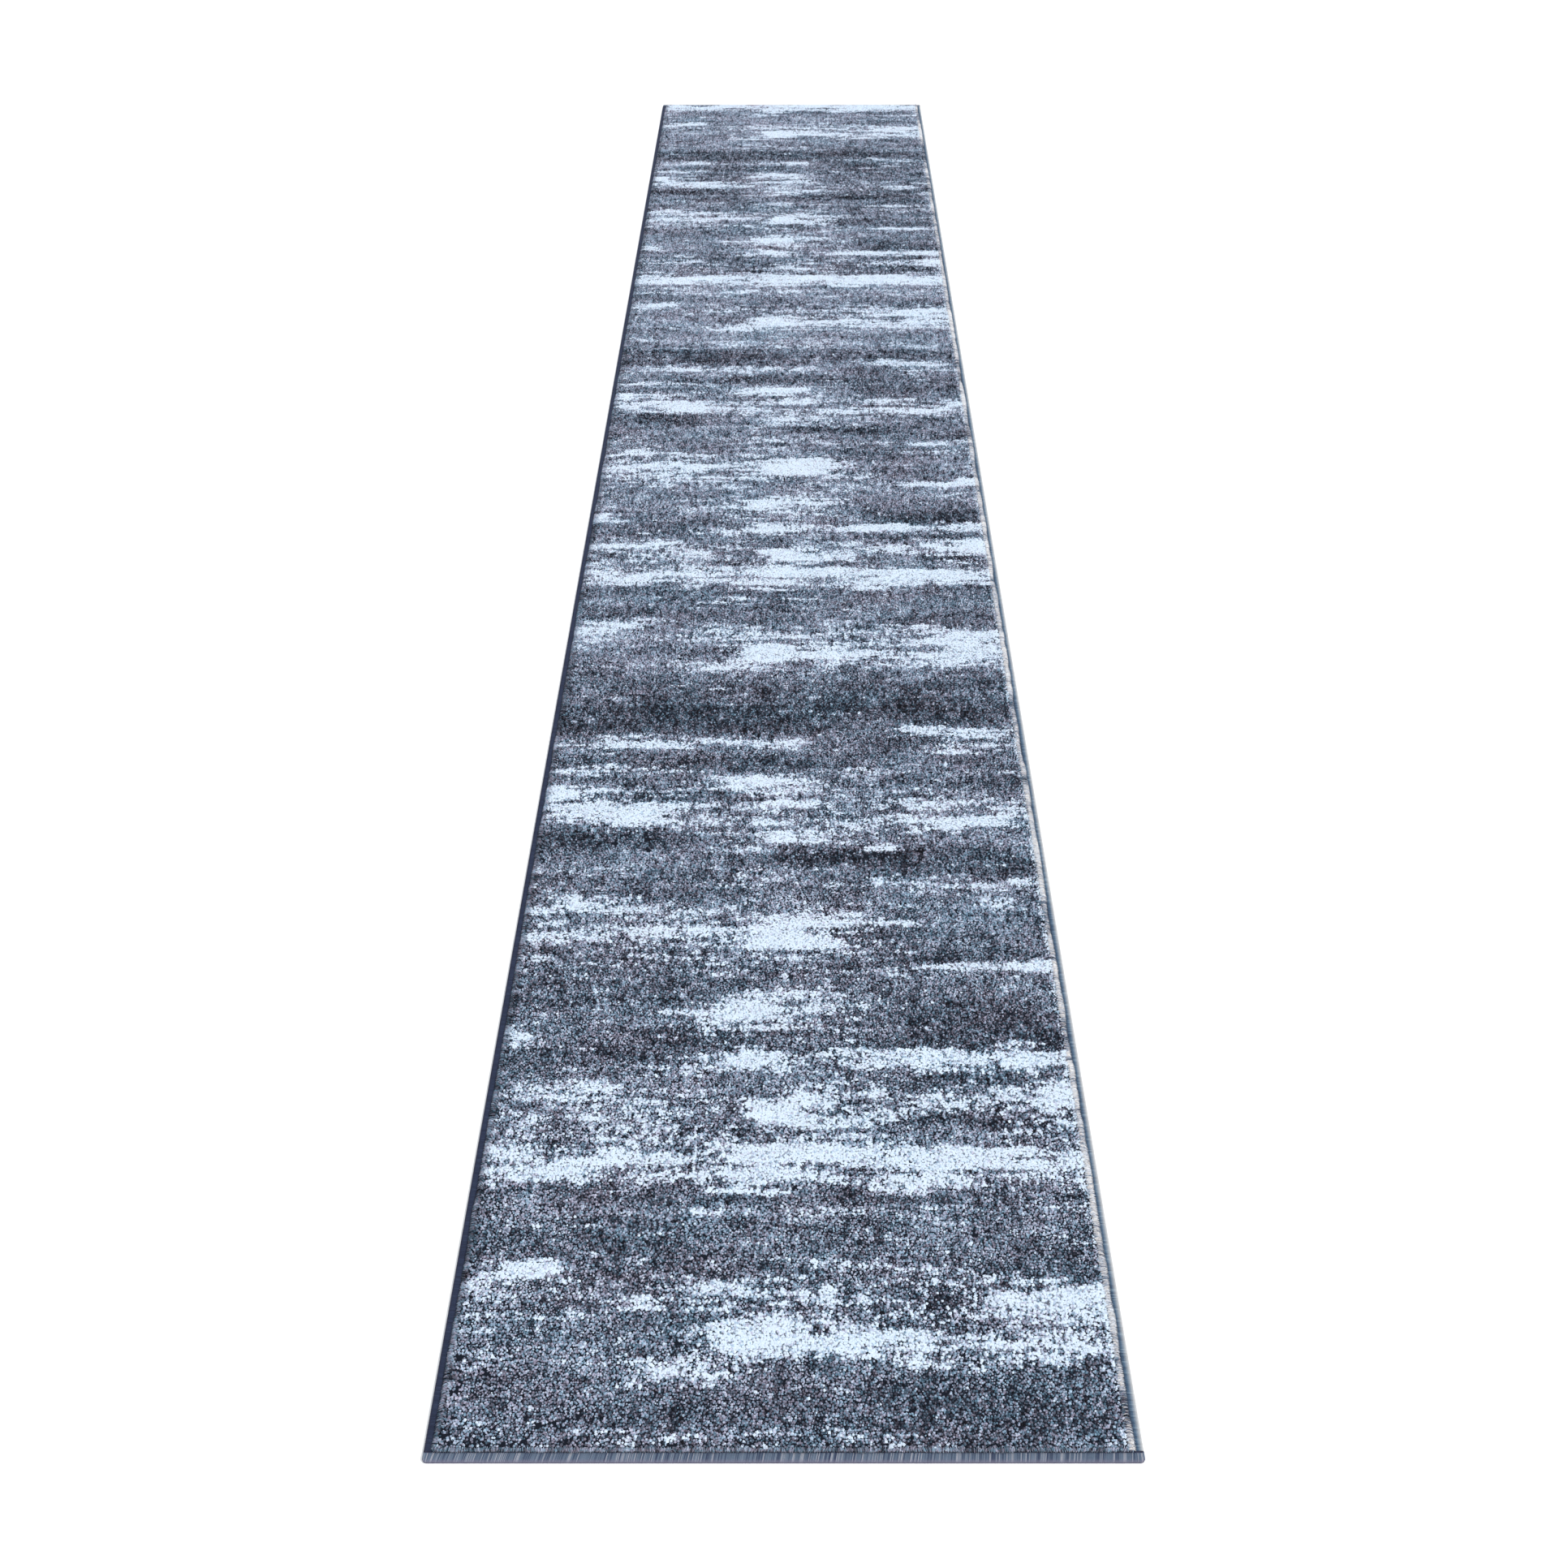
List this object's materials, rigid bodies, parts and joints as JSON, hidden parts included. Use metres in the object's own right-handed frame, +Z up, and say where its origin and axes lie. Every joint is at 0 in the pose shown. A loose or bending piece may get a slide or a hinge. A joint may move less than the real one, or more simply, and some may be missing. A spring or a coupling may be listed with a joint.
{
  "type": "runner rug",
  "caption": "Long narrow machine-woven cut-pile runner rug with a streaked grey-blue pattern, overcast edge bindings with sewn needle lines and a coated back; lies flat on a floor.",
  "frame": {"origin": "centre of the underside, on the floor", "axes": "+X across the rug to the right, +Y along the rug from the near end to the far end, +Z up out of the pile"},
  "size_m": [0.9144, 4.8768, 0.0125],
  "materials": {
    "pile_yarn": "matte",
    "ground_cloth": "matte",
    "back_coating": "matte",
    "binding_yarn": "matte",
    "needle_thread": "matte",
    "edge_cord": "matte"
  },
  "bodies": {
    "root": {"pile_field": "pile_yarn", "ground_weave": "ground_cloth", "back_coating": "back_coating", "near_end_binding": "binding_yarn", "far_end_binding": "binding_yarn", "left_side_binding": "binding_yarn", "right_side_binding": "binding_yarn", "near_end_thread": "needle_thread", "far_end_thread": "needle_thread", "left_side_thread": "needle_thread", "right_side_thread": "needle_thread", "near_end_cord": "edge_cord", "far_end_cord": "edge_cord", "left_side_cord": "edge_cord", "right_side_cord": "edge_cord"}
  },
  "joints": []
}
